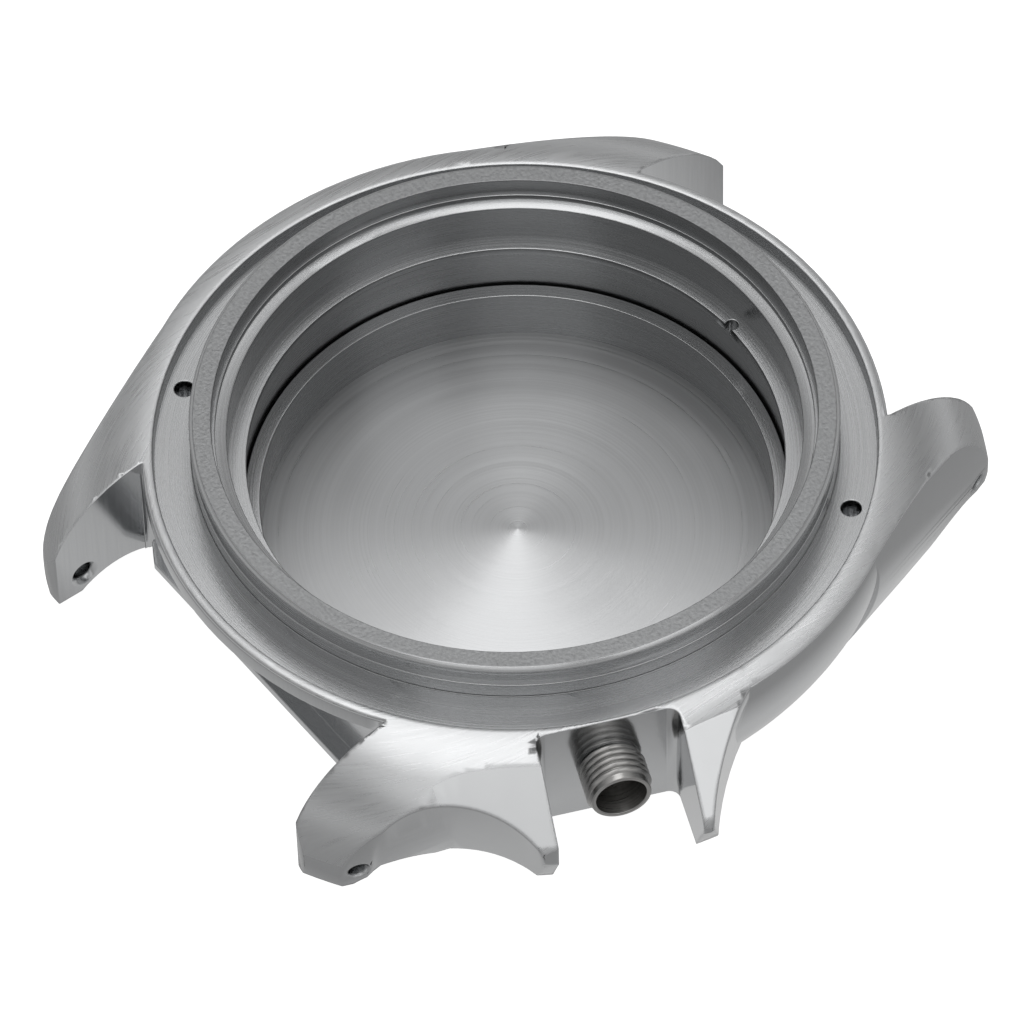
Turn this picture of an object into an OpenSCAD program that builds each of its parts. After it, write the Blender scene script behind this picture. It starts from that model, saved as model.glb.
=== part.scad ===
// Empty case of a diver's wristwatch: a machined middle with four lugs and two crown guards,
// a screw-in back with its gasket, and a threaded crown tube with its seal.
// The origin is the centre of the back's outer face. +Z goes up through the crystal seat,
// +Y to the 12 o'clock lugs and +X to 3 o'clock. The crown axis lies between 3 and 4 o'clock.

/* [Case middle] */
// Height of the case middle from its back face to its top face
case_h = 7.33; // [7:0.05:8]
// Wall of the flanks outside the bezel channel, at their widest
flank_wall = 1.5; // [1.3:0.05:1.9]
// Radius of the flanks' barrel curve, seen from the side
flank_arc_r = 9.8; // [9:0.1:12]
// Depth below the top face at which the flanks are widest
flank_widest = 1.6; // [1.2:0.1:2.2]
// Radius of the curve that takes the top face down to the lug tips
dome_arc_r = 6.34; // [6.2:0.02:6.5]

/* [Lugs] */
// Width between the lugs, for the strap
lug_gap = 22; // [20:0.5:22]
// Reach of the lug tips past the flanks, at 12 and 6 o'clock
lug_reach_out = 1.8; // [1.5:0.1:2.5]
// Step of the lugs' outer sides in from the flanks
lug_side_in = 0.05; // [0.05:0.01:0.15]
// Turn of the lugs' outer sides in from straight ahead, in degrees
lug_side_angle = 23; // [22:0.5:24]
// Fall of the lugs' outer sides towards their tips, in degrees
lug_side_fall = 14; // [10:1:16]
// Corner radius of the lug tips, seen from above
lug_tip_r = 2.75; // [2.4:0.05:3]
// Drop of the lug heels below the case middle's back face
lug_heel_drop = 0.39; // [0.3:0.01:0.6]
// Radius of the arch under each lug
lug_arch_r = 4.3; // [4:0.1:4.6]
// Distance of the arch's crown in from the lug tips
lug_arch_in = 4.1; // [3.9:0.05:4.3]
// Rise of the arch above the case middle's back face
lug_arch_rise = 0.43; // [0.3:0.01:0.5]
// Diameter of the spring bar holes
bar_hole_d = 1.1; // [0.9:0.05:1.3]
// Distance of the spring bar holes in from the lug tips' front
bar_inset = 1.8; // [1.7:0.05:2]
// Height of the spring bar holes above the lug heels
bar_h = 1.32; // [1.2:0.02:1.5]
// Diameter of the countersink round each spring bar hole on the lug's inner face
bar_sink_d = 1.7; // [1.5:0.05:1.9]
// Depth of that countersink
bar_sink_t = 0.25; // [0.15:0.05:0.4]

/* [Strap gaps] */
// Wall between the gasket's pocket and the gap's flat wall
gap_wall_t = 0.8; // [0.7:0.05:1.1]
// Fillet where that wall meets the lugs' inner faces
gap_fillet_r = 0.6; // [0.4:0.05:0.8]
// Width of the ring round the bezel channel, which overhangs the gap
ring_w = 0.6; // [0.5:0.05:0.8]
// Thickness of that ring
ring_t = 1.1; // [1.05:0.05:1.2]
// Chamfer on the ring's outer edge
ring_chamfer = 0.15; // [0.1:0.01:0.2]
// Step of the thin foot at the bottom of the gap in from the ring's edge
foot_in = 0.2; // [0.1:0.05:0.3]
// Width of that foot past the gap's flat wall
foot_w = 1; // [0.95:0.05:1.15]
// Thickness of the foot
foot_t = 0.5; // [0.4:0.05:0.6]

/* [Bezel channel and neck] */
// Width of the bezel channel at its top
channel_w = 2.02; // [1.9:0.02:2.1]
// Depth of the bezel channel
channel_depth = 0.8; // [0.6:0.05:0.9]
// Draft of the channel's outer wall
channel_draft = 0.07; // [0:0.01:0.1]
// Wall of the neck between the crystal's seat and the snap groove
neck_wall = 0.95; // [0.9:0.01:1.05]
// Stand of the neck's foot out from the floor of the snap groove
neck_foot_t = 0.28; // [0.26:0.01:0.35]
// Height of the neck above the case's top face
neck_h = 2.4; // [2.3:0.05:2.6]
// Depth of the snap groove behind the neck's upper lip, where the bezel's edge holds
lip_t = 0.25; // [0.2:0.01:0.27]
// Chamfer on the lip's top edge
lip_chamfer = 0.2; // [0.1:0.05:0.25]
// Height of the lip, from the snap groove to the neck's top
lip_h = 0.5; // [0.4:0.05:0.6]
// Height of the groove's lower edge above the case's top face
groove_z = 1; // [0.9:0.05:1.1]
// Stand of the neck under the snap groove out from the groove's floor
neck_band_t = 0.22; // [0.2:0.01:0.25]
// Height above the case's top face at which the neck steps in to that radius
neck_band_z = 0.1; // [0:0.05:0.2]
// Diameter of the two blind holes for the bezel's click pins
click_d = 1.1; // [0.9:0.05:1.2]
// Distance of those holes in from the channel's outer edge
click_in = 1.03; // [0.9:0.01:1.1]
// Direction of the first hole, from 3 towards 12 o'clock, in degrees
click_angle = 39.2; // [38:0.2:41]
// Depth of those holes below the channel's floor
click_depth = 1.8; // [1.5:0.1:2]

/* [Crystal and movement seats] */
// Step of the crystal's seat out from its relief
crystal_step = 0.17; // [0.12:0.01:0.2]
// Depth of the crystal's seat below the neck's top
crystal_depth = 1.05; // [0.95:0.05:1.15]
// Step of the small relief under the crystal's seat out from the dial bore
relief_step = 0.61; // [0.5:0.01:0.65]
// Depth of that relief below the crystal's seat
relief_depth = 0.3; // [0.25:0.05:0.35]
// Drop of the crystal's ledge towards the dial bore
ledge_drop = 0.1; // [0:0.02:0.15]
// Step of the dial bore out from the movement bore
dial_step = 0.59; // [0.5:0.01:0.65]
// Depth of the movement ledge below the neck's top
movement_ledge_depth = 3.75; // [3.6:0.05:3.9]
// Reach of the lip that the movement ledge ends in, past the movement bore
movement_lip_w = 0.36; // [0.3:0.01:0.42]
// Height of that lip
movement_lip_h = 0.5; // [0.4:0.05:0.6]
// Step of the movement bore behind the lip out from the back's thread
movement_step = 0.13; // [0.12:0.01:0.16]
// Diameter of the locating hole on the movement ledge, at 12 o'clock
locating_d = 0.7; // [0.6:0.05:0.8]
// Distance of the locating hole's centre out from the lip's edge
locating_in = 0.26; // [0.23:0.01:0.32]
// Depth of the locating hole
locating_depth = 1.2; // [1:0.1:1.4]

/* [Screw back] */
// Thickness of the back's flange
flange_t = 1.42; // [1.3:0.02:1.6]
// Overlap of the back's flange past the gasket's pocket
flange_lap = 1.35; // [1.2:0.05:1.45]
// Height of the flange's straight edge above the cone, measured down from its top
flange_edge = 0.62; // [0.5:0.02:0.7]
// Width of the cone between the back's outer face and the flange's edge
back_cone_w = 1.4; // [1.2:0.05:1.6]
// Thickness of the back's floor
floor_t = 1.01; // [0.9:0.01:1.1]
// Wall of the cup inside the back's thread
cup_wall = 0.83; // [0.8:0.01:0.95]
// Height of the back's threaded neck above its flange
back_neck_h = 2.72; // [2.6:0.02:2.8]
// Radius of the back's thread over its crests
thread_r = 14.75; // [14.72:0.01:14.78]
// Radial clearance between the crests of the two threads
thread_clear = 0.07; // [0.05:0.01:0.08]
// Depth of both threads
thread_depth = 0.25; // [0.2:0.01:0.28]
// Pitch of the back's thread
thread_pitch = 0.5; // [0.4:0.05:0.5]
// Number of thread turns
thread_turns = 3; // [2:1:3]
// Gap between the flange and the case middle
face_gap = 0.05; // [0.02:0.01:0.08]
// Number of wrench notches round the flange
notch_count = 6; // [4:2:8]
// Width of a wrench notch
notch_w = 2.6; // [2:0.1:3]
// Depth of a wrench notch, inwards from the flange's edge
notch_depth = 1.6; // [1.4:0.1:1.8]
// Height of a wrench notch above the outer face
notch_h = 0.7; // [0.5:0.05:0.8]

/* [Back gasket] */
// Width of the gasket's pocket outside the back's thread
pocket_w = 0.9; // [0.85:0.01:1]
// Depth of that pocket
pocket_depth = 0.58; // [0.55:0.01:0.65]
// Clearance of the gasket to the back's neck, the pocket's wall and its roof
gasket_clear = 0.03; // [0.02:0.01:0.04]
// Radius of the gasket's rounded edges
gasket_edge_r = 0.2; // [0.15:0.01:0.22]

/* [Crown side] */
// Direction of the crown axis, from 3 towards 6 o'clock, in degrees
crown_angle = 22.5; // [21:0.5:24]
// Depth of the crown axis below the case's top face
crown_depth = 3.7; // [3.6:0.05:3.8]
// Wall between the bezel channel and the flat between the guards
recess_wall = 0.17; // [0.1:0.01:0.5]
// Distance of the 6 o'clock guard's inner wall from the crown axis
recess_six = 4.1; // [3.8:0.05:4.2]
// Distance of the 12 o'clock guard's inner wall from the crown axis
recess_twelve = 3.65; // [3.4:0.05:3.75]
// Fillet where the guards meet that flat
recess_fillet_r = 0.6; // [0.4:0.05:0.8]
// Slope of the guards' polished facets, in degrees
facet_angle = 39.35; // [37:0.25:41]
// Distance of the facets' upper edge out from the flanks
facet_out = 0.1; // [0:0.05:0.3]
// Depth of the facets' upper edge below the case's top face
facet_depth = 0.36; // [0.3:0.02:0.45]
// Sideways fall of the facets away from the crown, in degrees
facet_turn = 8.6; // [6:0.2:10]
// Depth below the case's top face at which the guards' tips start to taper in
taper_depth = 4.3; // [4:0.1:4.6]
// Taper of the guards' tips down to the case middle's back face
taper = 1.5; // [1.3:0.05:1.6]
// Depth below the case's top face at which the guards' hollow sides are measured
lean_depth = 2.5; // [2:0.1:3]
// Lean of the 6 o'clock guard's hollow side in towards the case, in degrees
guard_six_lean = 13; // [12:0.5:14]
// Lean of that side along the lug, in degrees
guard_six_drift = 5.5; // [4:0.5:7]
// Lean of the 12 o'clock guard's hollow side in towards the case, in degrees
guard_twelve_lean = 28.5; // [27:0.5:30]
// Lean of that side away from the crown axis, in degrees
guard_twelve_drift = 10.5; // [9:0.5:12]
// Lean of the lug's side beyond the 6 o'clock guard, in degrees
guard_lug_lean = 6; // [5:0.5:7]
// Radius of the hollow side of the 6 o'clock guard
guard_six_arc_r = 6.5; // [6.3:0.05:6.8]
// Distance of that hollow's deepest line out from the flanks
guard_six_out = 0.37; // [0.3:0.01:0.42]
// Distance of the lug's side beyond that hollow out from the flanks
guard_lug_out = 0.43; // [0.43:0.01:0.5]
// Distance of that line from the crown axis
guard_six_wall_v = 11.03; // [10.9:0.01:11.2]
// Radius of the 6 o'clock guard's tip
guard_six_tip_r = 0.8; // [0.7:0.02:0.86]
// Radius of the hollow side of the 12 o'clock guard
guard_twelve_arc_r = 16; // [15.8:0.05:16.2]
// Distance of that hollow's centre line out from the flanks, along the crown axis
guard_twelve_out = 9.53; // [9.4:0.01:9.7]
// Distance of that centre line from the crown axis
guard_twelve_arc_v = 19.22; // [19.1:0.02:19.3]
// Radius of the 12 o'clock guard's tip
guard_twelve_tip_r = 0.32; // [0.3:0.01:0.36]

/* [Crown tube] */
// Outer radius of the tube over its thread crests
tube_r = 1.8; // [1.7:0.02:1.85]
// Stand of the tube out of the flat between the guards
tube_stand = 2.31; // [2:0.05:2.5]
// Radius of the tube's wide bore
tube_bore_r = 1.375; // [1.3:0.005:1.4]
// Depth of the wide bore from the tube's outer end
tube_bore_depth = 3.4; // [3:0.1:3.6]
// Radius of the stem hole through the tube and the case wall
stem_r = 0.8; // [0.7:0.05:0.85]
// Radius of the tube's shank inside the case
shank_r = 1.6; // [1.58:0.01:1.64]
// Radial clearance of the shank in its bore
shank_clear = 0.01; // [0.01:0.005:0.02]
// Length of the shank inside the case
shank_l = 3.6; // [3.4:0.1:3.7]
// Thread pitch on the tube
tube_pitch = 0.4; // [0.35:0.05:0.45]
// Number of thread crests on the tube
tube_turns = 5; // [4:1:5]
// Depth of the tube's thread
tube_thread_depth = 0.17; // [0.12:0.01:0.2]
// Width of the flat on each of the tube's thread crests
tube_crest_w = 0.06; // [0.04:0.01:0.08]
// Width of the seal's groove in the shank
seal_w = 0.6; // [0.5:0.05:0.7]
// Depth of the seal's groove
seal_depth = 0.45; // [0.4:0.01:0.48]
// Distance of the groove's outer edge in from the inner end of the wide bore
seal_inset = 0.25; // [0.2:0.05:0.4]
// Clearance of the seal in its groove
seal_clear = 0.02; // [0.01:0.005:0.03]

/* [Hidden] */
$fn = 96;
// Overlap that keeps cuts open at their ends
eps = 0.5;
// A length that passes clear of the whole case
far = 60;

// Radii, from the back's thread outwards
cup_r = thread_r - cup_wall;
movement_r = thread_r + movement_step;
movement_lip_r = movement_r - movement_lip_w;
locating_y = movement_lip_r + locating_in;
dial_r = movement_r + dial_step;
relief_r = dial_r + relief_step;
crystal_r = relief_r + crystal_step;
groove_r = crystal_r + neck_wall;
lip_r = groove_r + lip_t;
neck_band_r = groove_r + neck_band_t;
neck_r = groove_r + neck_foot_t;
channel_r = neck_r + channel_w;
click_r = channel_r - click_in;
ring_r = channel_r + ring_w;
foot_r = ring_r - foot_in;
flank_r = channel_r + flank_wall;
pocket_r = thread_r + pocket_w;
flange_r = pocket_r + flange_lap;
back_face_r = flange_r - back_cone_w;
gap_wall_y = pocket_r + gap_wall_t;
foot_y = gap_wall_y + foot_w;
// Distances from the case's axis, seen from above
lug_side_d = flank_r - lug_side_in;
lug_reach = flank_r + lug_reach_out;
lug_arch_y = lug_reach - lug_arch_in;
recess_u = channel_r + recess_wall;
facet_u = flank_r + facet_out;
guard_six_wall_u = flank_r + guard_six_out;
guard_lug_u = flank_r + guard_lug_out;
guard_twelve_arc_u = flank_r + guard_twelve_out;

case_bottom = flange_t + face_gap;
case_top = case_bottom + case_h;
neck_top = case_top + neck_h;
heel_z = case_bottom - lug_heel_drop;
bar_y = lug_reach - bar_inset;
bar_z = heel_z + bar_h;
crystal_z = neck_top - crystal_depth;
relief_z = crystal_z - relief_depth;
movement_ledge_z = neck_top - movement_ledge_depth;
crown_z = case_top - crown_depth;
back_rim_z = flange_t + back_neck_h;
thread_bore_r = thread_r + thread_clear;
thread_l = thread_turns * thread_pitch;
pocket_z = case_bottom + pocket_depth;
// The female thread starts a quarter pitch above the gasket's pocket
female_z = pocket_z + thread_pitch / 4;
male_z = female_z;
tube_end_u = recess_u + tube_stand;
shank_u = recess_u - shank_l;
tube_bore_end_u = tube_end_u - tube_bore_depth - (tube_bore_r - stem_r);
seal_u = tube_bore_end_u - seal_inset - seal_w;
// Centres of the lug tip's corner and of the guards' tips, seen from above
tip_y = lug_reach - lug_tip_r;
// Spare that the lugs' outlines keep outside the barrel surface that trims them
side_spare = 0.2;
tip_x = (lug_side_d + side_spare - lug_tip_r - tip_y * sin(lug_side_angle)) / cos(lug_side_angle);
// Where the 6 o'clock guard's lug ends its straight side, seen along the crown axis
lug_side_v = tip_y * cos(crown_angle) - tip_x * sin(crown_angle);
six_arc_u = guard_six_wall_u + guard_six_arc_r;
six_tip_v = recess_six + guard_six_tip_r;
six_tip_u = six_arc_u
    - sqrt(pow(guard_six_arc_r + guard_six_tip_r, 2) - pow(guard_six_wall_v - six_tip_v, 2));
twelve_tip_v = recess_twelve + guard_twelve_tip_r;
twelve_tip_u = guard_twelve_arc_u
    - sqrt(pow(guard_twelve_arc_r + guard_twelve_tip_r, 2) - pow(guard_twelve_arc_v - twelve_tip_v, 2));

// Barrel of the flanks, turned round the case's axis
module flanks() {
    rotate_extrude()
        intersection() {
            translate([0, case_bottom]) square([flank_r + eps, case_h]);
            union() {
                translate([0, case_bottom]) square([flank_r - flank_arc_r, case_h]);
                translate([flank_r - flank_arc_r, case_top - flank_widest]) circle(r = flank_arc_r);
            }
        }
}

// Everything under the top face: flat to the channel's edge, then a curve that steepens to the tips
module under_dome() {
    rotate_extrude()
        union() {
            square([channel_r, case_top]);
            translate([channel_r, case_top - dome_arc_r]) circle(r = dome_arc_r);
        }
}

// Outline of one lug from above: straight outer side, round corner and flat front
module lug_plan() {
    side = [cos(lug_side_angle), sin(lug_side_angle)];
    ahead = [-side.y, side.x];
    union() {
        polygon([
            [lug_gap / 4, 0],
            side * channel_r,
            side * (lug_side_d + side_spare) + ahead * lug_tip_r,
            [tip_x, tip_y] + side * lug_tip_r,
            [tip_x, lug_reach],
            [lug_gap / 4, lug_reach]
        ]);
        translate([tip_x, tip_y]) circle(r = lug_tip_r);
    }
}

// The flank's barrel carried straight on along +Y, falling as it goes
module falling_side() {
    translate([lug_side_d - flank_arc_r, 0, case_top - flank_widest])
        rotate([-90 - lug_side_fall, 0, 0])
            translate([0, 0, -far / 4]) cylinder(h = far, r = flank_arc_r);
}

// One lug at 1 o'clock, whose outer side goes on from the flank's barrel and falls to the tip
module lug() {
    intersection() {
        translate([0, 0, heel_z]) linear_extrude(case_top - heel_z) lug_plan();
        rotate([0, 0, lug_side_angle]) falling_side();
    }
}

// All above the back face, and above the heels past the crown of the lugs' arches
module above_back() {
    translate([-far, -far, case_bottom]) cube(2 * far);
    for (sy = [0, 1])
        mirror([0, sy, 0]) translate([-far, lug_arch_y, heel_z]) cube(2 * far);
}

module lugs() {
    for (sx = [0, 1], sy = [0, 1]) mirror([sx, 0, 0]) mirror([0, sy, 0]) lug();
}

// Arches under the lugs, one cut through the two lugs of each end
module lug_arches() {
    for (sx = [-1, 1], sy = [-1, 1])
        translate([sx * (lug_gap / 2 + far / 2), sy * lug_arch_y, case_bottom + lug_arch_rise - lug_arch_r])
            rotate([0, 90, 0]) cylinder(h = far, r = lug_arch_r, center = true);
}

module spring_bar_holes() {
    for (sy = [-1, 1])
        translate([0, sy * bar_y, bar_z]) {
            for (sx = [0, 1])
                mirror([sx, 0, 0])
                    translate([lug_gap / 2, 0, 0]) rotate([0, 90, 0]) {
                        translate([0, 0, -eps]) cylinder(h = far / 4, d = bar_hole_d);
                        cylinder(h = bar_sink_t, d1 = bar_sink_d, d2 = bar_hole_d);
                    }
        }
}

// Gap between two lugs, in 2D, with filleted inner corners
module gap_plan() {
    half = lug_gap / 2;
    translate([-half, gap_wall_y + gap_fillet_r]) square([lug_gap, far]);
    translate([gap_fillet_r - half, gap_wall_y]) square([lug_gap - 2 * gap_fillet_r, far]);
    for (s = [-1, 1])
        translate([s * (half - gap_fillet_r), gap_wall_y + gap_fillet_r]) circle(r = gap_fillet_r);
}

// What the strap gaps leave alone at the top: the neck, and the ring with its chamfer
module spared_ring() {
    rotate_extrude()
        polygon([
            [0, case_top - ring_t],
            [ring_r, case_top - ring_t],
            [ring_r, case_top - ring_chamfer],
            [channel_r, case_top + ring_w - ring_chamfer],
            [channel_r, far],
            [0, far]
        ]);
}

// The two strap gaps, which leave the neck and the ring above and a thin foot below
module strap_gaps() {
    difference() {
        union() {
            translate([0, 0, heel_z - eps]) linear_extrude(far) gap_plan();
            mirror([0, 1, 0]) translate([0, 0, heel_z - eps]) linear_extrude(far) gap_plan();
        }
        spared_ring();
        intersection() {
            translate([0, 0, case_bottom]) cylinder(h = foot_t, r = foot_r);
            translate([-far / 2, -foot_y, 0]) cube([far, 2 * foot_y, far]);
        }
    }
}

// All that lies under a facet's plane. The plane passes through the facet's upper edge.
module under_facet(turn, edge_v) {
    translate([facet_u, edge_v, case_top - facet_depth])
        rotate([0, facet_angle, 0]) rotate([turn, 0, 0])
            translate([-far / 2, -far / 2, -far]) cube([far, far, far]);
}

// Outline of the 6 o'clock guard, whose hollow side runs on into the lug's round tip
module guard_six_plan() {
    union() {
        translate([six_tip_u, -six_tip_v]) circle(r = guard_six_tip_r);
        polygon([
            [channel_r / 2, 0],
            [six_tip_u + guard_six_tip_r, 0],
            [six_tip_u + guard_six_tip_r, -six_tip_v],
            [guard_lug_u, -guard_six_wall_v],
            [guard_lug_u, -lug_side_v],
            [channel_r / 2, -lug_side_v]
        ]);
        translate([guard_lug_u - lug_tip_r, -lug_side_v]) circle(r = lug_tip_r);
    }
}

// Half space under the lug's leaning side, past the hollow of the 6 o'clock guard
module outside_lug() {
    translate([guard_lug_u, -guard_six_wall_v, case_top - lean_depth])
        rotate([0, guard_lug_lean, 0])
            translate([0, -far, -far / 2]) cube([far, far, far]);
}

// Outline of the 12 o'clock guard, a narrow blade that ends on the flank
module guard_twelve_plan() {
    difference() {
        union() {
            translate([twelve_tip_u, twelve_tip_v]) circle(r = guard_twelve_tip_r);
            polygon([
                [channel_r / 2, 0],
                [twelve_tip_u + guard_twelve_tip_r, 0],
                [twelve_tip_u + guard_twelve_tip_r, twelve_tip_v],
                [facet_u, channel_r / 2],
                [movement_r, channel_r / 2]
            ]);
        }
        translate([guard_twelve_arc_u, guard_twelve_arc_v]) circle(r = guard_twelve_arc_r);
    }
}

// The two guards: polished facets on top, leaning hollow sides and tips tapered in below
module guards() {
    tip_reach = norm([six_tip_u + guard_six_tip_r, six_tip_v]);
    taper_h = case_h - taper_depth;
    rotate([0, 0, -crown_angle])
        difference() {
            union() {
                intersection() {
                    translate([0, 0, heel_z]) linear_extrude(case_top - heel_z) guard_six_plan();
                    under_facet(facet_turn, -six_tip_v);
                }
                intersection() {
                    translate([0, 0, case_bottom]) linear_extrude(case_h) guard_twelve_plan();
                    under_facet(-facet_turn, twelve_tip_v);
                }
            }
            outside_lug();
            translate([six_arc_u, -guard_six_wall_v, case_top - lean_depth])
                rotate([guard_six_drift, guard_six_lean, 0])
                    cylinder(h = far, r = guard_six_arc_r, center = true);
            translate([guard_twelve_arc_u, guard_twelve_arc_v, case_top - lean_depth])
                rotate([guard_twelve_drift, guard_twelve_lean, 0])
                    cylinder(h = far, r = guard_twelve_arc_r, center = true);
            difference() {
                translate([guard_lug_u, -2 * recess_six, case_bottom]) cube([far, 4 * recess_six, taper_h]);
                translate([0, 0, case_bottom])
                    cylinder(h = taper_h, r1 = tip_reach - taper, r2 = tip_reach);
            }
        }
}

// Recess for the crown between the guards, with the flat that the tube stands in
module crown_recess() {
    width = recess_six + recess_twelve;
    rotate([0, 0, -crown_angle])
        translate([recess_u, -recess_six, case_bottom - eps])
            linear_extrude(case_h + 2 * eps)
                union() {
                    translate([recess_fillet_r, 0]) square([far, width]);
                    translate([0, recess_fillet_r]) square([far, width - 2 * recess_fillet_r]);
                    for (v = [recess_fillet_r, width - recess_fillet_r])
                        translate([recess_fillet_r, v]) circle(r = recess_fillet_r);
                }
}

// Channel round the neck, in which the bezel runs
module bezel_channel() {
    floor_z = case_top - channel_depth;
    rotate_extrude()
        polygon([
            [neck_r, floor_z],
            [channel_r - channel_draft, floor_z],
            [channel_r, case_top],
            [channel_r, neck_top + eps],
            [neck_r, neck_top + eps]
        ]);
    for (turn = [0, 180])
        rotate([0, 0, click_angle + turn])
            translate([click_r, 0, floor_z - click_depth]) cylinder(h = click_depth + eps, d = click_d);
}

// Neck that carries the bezel, with its snap groove
module neck() {
    rotate_extrude()
        polygon([
            [0, case_top - channel_depth - eps],
            [neck_r, case_top - channel_depth - eps],
            [neck_r, case_top + neck_band_z],
            [neck_band_r, case_top + neck_band_z],
            [neck_band_r, case_top + groove_z],
            [groove_r, case_top + groove_z],
            [groove_r, neck_top - lip_h],
            [lip_r, neck_top - lip_h],
            [lip_r, neck_top - lip_chamfer],
            [lip_r - lip_chamfer, neck_top],
            [0, neck_top]
        ]);
}

// Crystal seat, dial bore, movement bore, back thread and gasket pocket, turned in one go
module turned_bores() {
    lip_end = movement_ledge_z - movement_lip_h;
    rotate_extrude()
        polygon(concat(
            [
                [0, neck_top + eps],
                [crystal_r, neck_top + eps],
                [crystal_r, crystal_z],
                [relief_r, crystal_z],
                [relief_r, relief_z],
                [dial_r, relief_z - ledge_drop],
                [dial_r, movement_ledge_z],
                [movement_lip_r, movement_ledge_z],
                [movement_lip_r, lip_end],
                [movement_r, lip_end - (movement_r - movement_lip_r)],
                [movement_r, female_z + thread_l + thread_pitch / 2],
                [thread_bore_r, female_z + thread_l]
            ],
            [for (i = [thread_turns - 1 : -1 : 0])
                each [
                    [thread_bore_r + thread_depth, female_z + (i + 0.5) * thread_pitch],
                    [thread_bore_r, female_z + i * thread_pitch]
                ]
            ],
            [
                [thread_bore_r, pocket_z],
                [pocket_r, pocket_z],
                [pocket_r, case_bottom - eps],
                [0, case_bottom - eps]
            ]
        ));
    translate([0, locating_y, movement_ledge_z - locating_depth])
        cylinder(h = locating_depth + eps, d = locating_d);
}

// Bore for the crown tube's shank, and the stem hole on into the movement bore
module tube_bore() {
    rotate([0, 0, -crown_angle])
        translate([0, 0, crown_z]) rotate([0, 90, 0]) {
            translate([0, 0, shank_u]) cylinder(h = far / 2, r = shank_r + shank_clear);
            translate([0, 0, cup_r]) cylinder(h = far / 2, r = stem_r);
        }
}

module mid_case() {
    color("silver")
        difference() {
            union() {
                intersection() {
                    union() {
                        flanks();
                        lugs();
                        guards();
                    }
                    under_dome();
                    above_back();
                }
                neck();
            }
            bezel_channel();
            turned_bores();
            strap_gaps();
            lug_arches();
            spring_bar_holes();
            crown_recess();
            tube_bore();
        }
}

// Back: flange, floor and cup with a threaded neck
module caseback() {
    color("lightgray")
        difference() {
            rotate_extrude()
                polygon(concat(
                    [
                        [0, 0],
                        [back_face_r, 0],
                        [flange_r, flange_t - flange_edge],
                        [flange_r, flange_t],
                        [thread_r, flange_t]
                    ],
                    [for (i = [0 : thread_turns - 1])
                        each [
                            [thread_r, male_z + i * thread_pitch],
                            [thread_r - thread_depth, male_z + (i + 0.5) * thread_pitch]
                        ]
                    ],
                    [
                        [thread_r, male_z + thread_l],
                        [thread_r, back_rim_z],
                        [cup_r, back_rim_z],
                        [cup_r, floor_t],
                        [0, floor_t]
                    ]
                ));
            for (i = [0 : notch_count - 1])
                rotate([0, 0, i * 360 / notch_count])
                    translate([flange_r - notch_depth, -notch_w / 2, -eps])
                        cube([notch_depth + eps, notch_w, notch_h + eps]);
        }
}

// Ring gasket round the back's neck, flattened between the flange and the pocket's roof
module caseback_gasket() {
    inner = thread_r + gasket_clear;
    outer = pocket_r - gasket_clear;
    low = flange_t;
    high = pocket_z - gasket_clear;
    color("dimgray")
        rotate_extrude()
            union() {
                translate([inner + gasket_edge_r, low])
                    square([outer - inner - 2 * gasket_edge_r, high - low]);
                translate([inner, low + gasket_edge_r])
                    square([outer - inner, high - low - 2 * gasket_edge_r]);
                for (r = [inner + gasket_edge_r, outer - gasket_edge_r])
                    for (z = [low + gasket_edge_r, high - gasket_edge_r])
                        translate([r, z]) circle(r = gasket_edge_r);
            }
}

// Places a solid that is turned round the crown axis, whose own +Z points outwards
module on_crown_axis() {
    rotate([0, 0, -crown_angle]) translate([0, 0, crown_z]) rotate([0, 90, 0]) children();
}

module crown_tube() {
    root = tube_r - tube_thread_depth;
    thread_end = tube_end_u - (tube_stand - tube_turns * tube_pitch) / 2;
    groove_floor = shank_r - seal_depth;
    color("darkgray")
        on_crown_axis()
            rotate_extrude()
                polygon(concat(
                    [
                        [stem_r, shank_u],
                        [shank_r, shank_u],
                        [shank_r, seal_u],
                        [groove_floor, seal_u],
                        [groove_floor, seal_u + seal_w],
                        [shank_r, seal_u + seal_w],
                        [shank_r, recess_u],
                        [root, recess_u],
                        [root, thread_end - tube_turns * tube_pitch]
                    ],
                    [for (i = [tube_turns : -1 : 1])
                        each [
                            [tube_r, thread_end - (i - 0.5) * tube_pitch - tube_crest_w / 2],
                            [tube_r, thread_end - (i - 0.5) * tube_pitch + tube_crest_w / 2],
                            [root, thread_end - (i - 1) * tube_pitch]
                        ]
                    ],
                    [
                        [root, tube_end_u],
                        [tube_bore_r, tube_end_u],
                        [tube_bore_r, tube_end_u - tube_bore_depth],
                        [stem_r, tube_bore_end_u]
                    ]
                ));
}

// Small ring seal in the shank's groove
module crown_tube_seal() {
    inner = shank_r - seal_depth + seal_clear;
    outer = shank_r;
    color("dimgray")
        on_crown_axis()
            rotate_extrude()
                translate([inner, seal_u + seal_clear]) square([outer - inner, seal_w - 2 * seal_clear]);
}

mid_case();
caseback();
caseback_gasket();
crown_tube();
crown_tube_seal();
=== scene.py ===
"""Looks of an empty diver's watch case: steel finishes, broken edges, a cut thread, seals and studio."""

import logging
import math
from dataclasses import dataclass, field
from enum import Enum

import bmesh
import bpy
from mathutils import Matrix, Quaternion, Vector


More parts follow.
